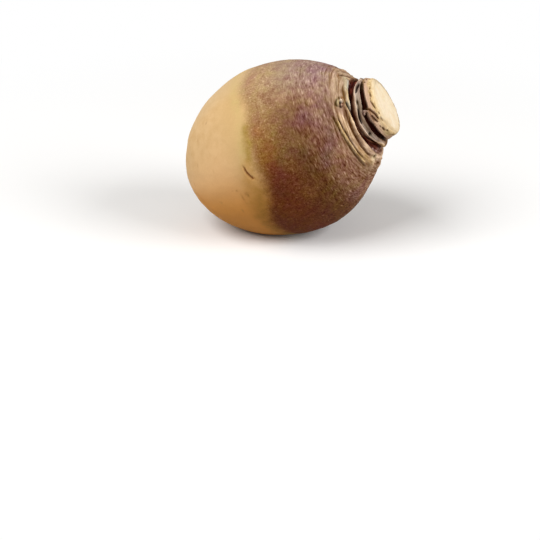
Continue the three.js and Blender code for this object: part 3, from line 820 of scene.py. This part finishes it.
def noise_wire(place, size, detail=3.0, rough=0.5):
    """Noise from 0 to 1, with marks of about this size in millimetres."""
    return Wire.node("ShaderNodeTexNoise", {}, {0: place, 2: 1 / size, 3: detail, 4: rough})


def vectors(operation, first, second):
    """A Vector Math node on two places or colours."""
    return Wire.node("ShaderNodeVectorMath", {"operation": operation}, {0: first, 1: second})


def blend(factor, first, second):
    """The first colour where the factor is 0 and the second where it is 1."""
    colours = {
        6: first if isinstance(first, Wire) else (*first, 1),
        7: second if isinstance(second, Wire) else (*second, 1),
    }
    return Wire.node("ShaderNodeMix", {"data_type": "RGBA"}, {0: factor, **colours}, output=2)


skin = bpy.data.materials.new("root_skin")
skin.use_nodes = True
Wire.nodes = skin.node_tree.nodes
Wire.links = skin.node_tree.links
shader = Wire.nodes["Principled BSDF"]

# "Along" is the axial place. "Upness" is 1 on top and -1 on the ground side, and the far
# side counts as higher than it is, so that its skin takes after the top.
place = attribute("root_place", 1)
parts = Wire.nodes.new("ShaderNodeSeparateXYZ")
Wire.links.new(place.socket, parts.inputs[0])
along, up, near = (Wire(parts.outputs[i]) for i in range(3))
around = (up * up + near * near).math("POWER", 0.5) + 0.01
far_side = (0.0 - near / around).between(0.1, 0.8)
top_turn = math.radians(10)
upness = (up * math.cos(top_turn) + near * math.sin(top_turn)) / around
upness = upness + far_side * 0.55

# Noise on the plain place makes round marks. With the place squeezed across the axis, they
# stretch round the girth into streaks, dashes, scratches and strands.
patches = noise_wire(place, 13)
blotches = noise_wire(place, 5.5, 4.0, 0.6)
round_way = vectors("MULTIPLY", place, (1.0, 0.32, 0.32))
dash_way = vectors("MULTIPLY", place, (1.0, 0.2, 0.2))
scratch_way = vectors("MULTIPLY", place, (1.0, 0.12, 0.12))
strand_way = vectors("MULTIPLY", attribute("strand_place", 1), (1.0, 0.09, 0.09))


def growing(low, high, fine, streaky):
    """Noise that turns from round mottles to streaks round the girth towards the neck."""
    return fine + along.between(low, high) * (streaky - fine)


mottle = growing(14.0, 34.0, noise_wire(place, 2.2, 4.0, 0.65), noise_wire(round_way, 1.6, 4.0, 0.65))
grain = growing(14.0, 34.0, noise_wire(place, 0.9, 2.0), noise_wire(round_way, 0.7, 2.0))
specks = growing(12.0, 30.0, noise_wire(place, 1.4, 1.0), noise_wire(dash_way, 1.0, 1.0))
clusters = noise_wire(place, 4.0, 2.0)
scratches = noise_wire(scratch_way, 0.6, 2.0, 0.6)
strands = noise_wire(strand_way, 0.85, 3.0, 0.6)

# Cream skin, gold on the ground side, paler along the top, and mottled very softly.
tailwards = (-8.0 - along).between(0.0, 18.0)
cream = blend(blotches.between(0.35, 0.7), linear(230, 192, 140), linear(222, 182, 128))
cream = blend(tailwards, linear(220, 182, 126), cream)
# The paler top is partly a painted sheen.
cream = blend(upness.between(0.93, 1.02) * 0.5, cream, linear(226, 198, 156))
# Low down the cream turns deeper gold, partly its own tone and partly painted warm reflected light and
# shade.
cream = blend((0.85 - upness).between(0.0, 0.6) * tailwards, cream, linear(246, 199, 143))
gold_and_reflected_light = blend(tailwards, linear(212, 150, 70), linear(252, 178, 92))
cream = blend((0.5 - upness).between(0.0, 0.7) * (0.95 - far_side * 0.5), cream, gold_and_reflected_light)

# The purple skin, from under the shoulder up to its top, and from the cream to the neck.
low_down = blend(along.between(6.0, 24.0), linear(118, 61, 27), linear(106, 63, 30))
low_down = blend(along.between(28.0, 42.0), low_down, linear(146, 104, 78))
halfway = blend(along.between(6.0, 24.0), linear(142, 94, 46), linear(118, 78, 50))
halfway = blend(along.between(28.0, 42.0), halfway, linear(134, 97, 78))
side = blend(along.between(6.0, 24.0), linear(160, 122, 76), linear(126, 90, 62))
side = blend(along.between(28.0, 42.0), side, linear(132, 98, 84))
top = blend(along.between(6.0, 26.0), linear(180, 147, 108), linear(165, 137, 115))
top = blend(along.between(28.0, 42.0), top, linear(148, 117, 110))
# Darker low down and paler on top: partly the skin's own tone, partly painted shade below and a painted
# sheen on top.
light = upness + (blotches - 0.5) * 0.35
purple = blend(light.between(0.0, 0.5), low_down, halfway)
purple = blend(light.between(0.4, 0.82), purple, side)
purple = blend(light.between(0.8, 1.02), purple, top)

past_edge = attribute("past_edge", 2)
edge = past_edge + (patches - 0.5) * 3 + (blotches - 0.5) * 9 + (mottle - 0.5) * 6
purple_share = edge.between(-6.5, 5.5)
colour = blend(purple_share, cream, purple)

# The painted patches: a half covered place breaks up into mottles of both colours.
cover_share = attribute("cover", 2)
spread = (mottle * 0.5 + blotches * 0.5 - 0.5) * 4.0
broken = cover_share + cover_share * (1.0 - cover_share) * spread
colour = blend(broken.between(0.0, 1.0), colour, attribute("paint", 1))

# Mottling and flecks lighten and darken the colour evenly, as it is seen on a screen.
shoulder = purple_share * (1.0 - along.between(43.0, 50.0) * 0.6) * (1.0 - along.between(56.0, 58.0) * 0.6)
on_flesh = along.between(68.2, 69.4)
flecks = (grain - 0.5) * 0.3 + (mottle - 0.5) * 0.24
flecks = flecks + specks.between(0.61, 0.74) * 0.11 - (0.38 - specks).between(0.0, 0.14) * 0.08
contrast = 1.0 + along.between(8.0, 28.0) * (0.95 - upness.between(0.1, 0.9) * 0.8)
scratched = along.between(14.0, 36.0) * (0.3 + clusters.between(0.42, 0.62) * 0.9)
flecks = flecks * contrast * (1.0 - scratched * 0.35) + (scratches - 0.5) * scratched * 0.6
flecks = flecks * (0.10 + 0.9 * shoulder) * (1.0 - on_flesh * 0.8)
in_crown = along.between(40.0, 47.0) * (1.0 - along.between(60.0, 62.0) * 0.6) * (1.0 - on_flesh)
flecks = flecks + (strands - 0.5) * 0.85 * in_crown * (1.0 - upness.between(0.5, 1.0) * 0.45)
olive_share = ((blotches - 0.5) * 0.16 + (patches - 0.5) * 0.1) * shoulder
red, green, blue = flecks + olive_share * 0.55, flecks + olive_share, flecks - olive_share * 0.15
shift = Wire.node("ShaderNodeCombineXYZ", {}, {0: red, 1: green, 2: blue})
screen_gamma = 2.2
darkest = (0.03, 0.02, 0.01)
seen_colour = Wire.node("ShaderNodeGamma", {}, {0: colour, 1: 1 / screen_gamma})
seen_colour = vectors("MAXIMUM", vectors("ADD", seen_colour, shift), darkest)
colour = Wire.node("ShaderNodeGamma", {}, {0: seen_colour, 1: screen_gamma})
Wire.links.new(colour.socket, shader.inputs["Base Color"])

# Waxy skin and cut flesh shine a little, and the scarred neck is dull. The bump is low.
roughness = 0.56 + 0.14 * blotches + 0.36 * along.between(42.0, 48.0) * (1.0 - on_flesh)
Wire.links.new(roughness.socket, shader.inputs["Roughness"])
relief = (grain * 0.4 + mottle * 0.3 + scratches * scratched * 0.4) * (0.12 + shoulder * 0.88)
relief = relief + strands * 0.5 * in_crown
bump = Wire.nodes.new("ShaderNodeBump")
bump.inputs["Strength"].default_value = 0.4
bump.inputs["Distance"].default_value = 0.22 * MM
Wire.links.new(relief.socket, bump.inputs["Height"])
Wire.links.new(bump.outputs["Normal"], shader.inputs["Normal"])
shader.inputs["IOR"].default_value = 1.45
shader.inputs["Specular IOR Level"].default_value = 0.1

mesh.materials.append(skin)
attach(root, "root")
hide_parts("rutabaga_root")


# ---------------------------------------------------------------------------------------
# The floor. A plain pale sheet that shows the root's own soft shadow and fades to white.
# It gives little light back, as the dark heap under such a root would.
bpy.ops.object.select_all(action="DESELECT")
bpy.ops.mesh.primitive_plane_add(size=12, location=(0, 0, 0))
floor = bpy.context.object
floor.name = "floor"
paper = bpy.data.materials.new("floor_paper")
paper.use_nodes = True
Wire.nodes = paper.node_tree.nodes
Wire.links = paper.node_tree.links
shade = Wire.nodes["Principled BSDF"]
shade.inputs["Roughness"].default_value = 1.0
shade.inputs["Specular IOR Level"].default_value = 0.0


def seen_directly():
    """1 for what the camera sees, also in a mirror or through glass, and 0 for the rest."""
    ways = [Wire.node("ShaderNodeLightPath", {}, {}, way) for way in (0, 3, 6)]
    return (ways[0] + ways[1] + ways[2]).math("MINIMUM", 1.0)


seen = seen_directly()
paper_colour = blend(seen, (0.26, 0.24, 0.22), (0.97, 0.97, 0.97))
Wire.links.new(paper_colour.socket, shade.inputs["Base Color"])
white = Wire.nodes.new("ShaderNodeEmission")
white.inputs["Strength"].default_value = 1.0
where = Wire.node("ShaderNodeTexCoord", {}, {}, 3)
distance = Wire.node("ShaderNodeVectorMath", {"operation": "LENGTH"}, {0: where}, 1)
fade_start, fade_end = 0.13, 0.42
far = distance.between(fade_start, fade_end) * seen
mixer = Wire.nodes.new("ShaderNodeMixShader")
Wire.links.new(far.socket, mixer.inputs[0])
Wire.links.new(shade.outputs[0], mixer.inputs[1])
Wire.links.new(white.outputs[0], mixer.inputs[2])
Wire.links.new(mixer.outputs[0], Wire.nodes["Material Output"].inputs["Surface"])
floor.data.materials.append(paper)


# ---------------------------------------------------------------------------------------
# Studio light. Two broad soft lamps of nearly equal power stand at the front, one high on
# the left and one lower on the right, and dim warm light comes from all round.
root_middle = Vector((0.0, 0.0, 0.05))


def soft_lamp(name, place, size, power):
    """A square lamp that faces the root."""
    bpy.ops.object.light_add(type="AREA", location=place)
    lamp = bpy.context.object
    lamp.name = name
    lamp.data.size = size
    lamp.data.energy = power
    lamp.rotation_euler = (root_middle - Vector(place)).to_track_quat("-Z", "Y").to_euler()


soft_lamp("left_lamp", (-1.1, -1.0, 1.7), 1.7, 43)
soft_lamp("right_lamp", (2.1, -0.5, 1.25), 1.6, 47)

world = bpy.data.worlds.new("studio")
bpy.context.scene.world = world
world.use_nodes = True
Wire.nodes = world.node_tree.nodes
Wire.links = world.node_tree.links
around_light = Wire.nodes["Background"]
sky = blend(seen_directly(), (0.23, 0.22, 0.205), (1.0, 1.0, 1.0))
Wire.links.new(sky.socket, around_light.inputs["Color"])


# ---------------------------------------------------------------------------------------
# The camera. It looks from the front, a little from the neck's side and from above, and aims
# below the root, which so stands high in the frame.
camera_azimuth = math.radians(11.1)
camera_height = math.radians(20)
camera_distance = 0.92
aim_left = 8.2 * MM
aim_below = 74.8 * MM

towards_camera = Vector(
    (
        math.sin(camera_azimuth) * math.cos(camera_height),
        -math.cos(camera_azimuth) * math.cos(camera_height),
        math.sin(camera_height),
    )
)
camera_right = Vector((math.cos(camera_azimuth), math.sin(camera_azimuth), 0))
camera_up = towards_camera.cross(camera_right)
centre = Vector(girth_middle) * MM
eye = centre + towards_camera * camera_distance
aim = centre - camera_right * aim_left - camera_up * aim_below
bpy.ops.object.camera_add(location=eye, rotation=(aim - eye).to_track_quat("-Z", "Y").to_euler())
camera = bpy.context.object
camera.data.lens = 100
camera.data.clip_end = 20
bpy.context.scene.camera = camera
bpy.context.scene.view_settings.view_transform = "Standard"
